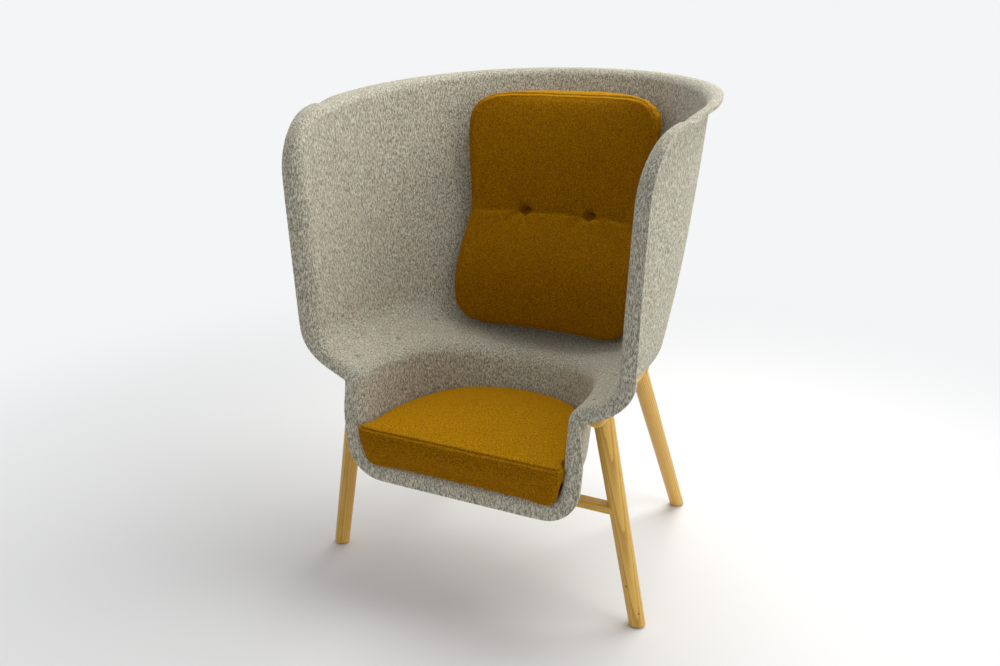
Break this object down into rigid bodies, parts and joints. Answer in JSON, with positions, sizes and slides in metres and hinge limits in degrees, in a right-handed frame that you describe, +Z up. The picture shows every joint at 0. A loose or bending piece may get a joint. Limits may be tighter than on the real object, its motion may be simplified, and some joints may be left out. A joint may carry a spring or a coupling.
{
  "type": "high back lounge chair",
  "caption": "Lounge chair with a tall wrap-around moulded felt shell that shields sound and sight, a seat cushion, a tufted back cushion and a four-legged wooden frame",
  "frame": {"origin": "on the floor under the middle of the chair's outline", "axes": "+X is the sitter's left and the right of the picture, +Y points to the back of the chair, +Z is up; the chair faces -Y"},
  "size_m": [0.9888, 0.8476, 1.2762],
  "materials": {
    "pressed_felt": "needled wool and polyester felt, pressed to shape, warm grey melange",
    "wool_upholstery": "fine woven wool cloth, mustard",
    "clear_ash": "turned ash with clear satin lacquer",
    "beech_dowel": "plain beech, glued",
    "glide_plastic": "dark nylon",
    "zinc_steel": "bright zinc plate",
    "hook_tape": "black woven hook tape"
  },
  "bodies": {
    "root": {"felt_shell": "pressed_felt", "seat_cushion": "wool_upholstery", "back_cushion": "wool_upholstery", "side_rail_right": "clear_ash", "side_rail_left": "clear_ash", "front_leg_right": "clear_ash", "front_leg_left": "clear_ash", "rear_leg_right": "clear_ash", "rear_leg_left": "clear_ash", "front_stretcher": "clear_ash", "front_glide_right": "glide_plastic", "front_glide_left": "glide_plastic", "rear_glide_right": "glide_plastic", "rear_glide_left": "glide_plastic", "front_leg_dowels": "beech_dowel", "rear_leg_dowels": "beech_dowel", "arm_screws": "zinc_steel", "arm_screw_washers": "zinc_steel", "arm_screw_plugs": "pressed_felt", "pan_screws": "zinc_steel", "pan_screw_washers": "zinc_steel", "pan_spacers": "glide_plastic", "seat_hook_strips": "hook_tape", "back_hook_strips": "hook_tape"}
  },
  "joints": []
}
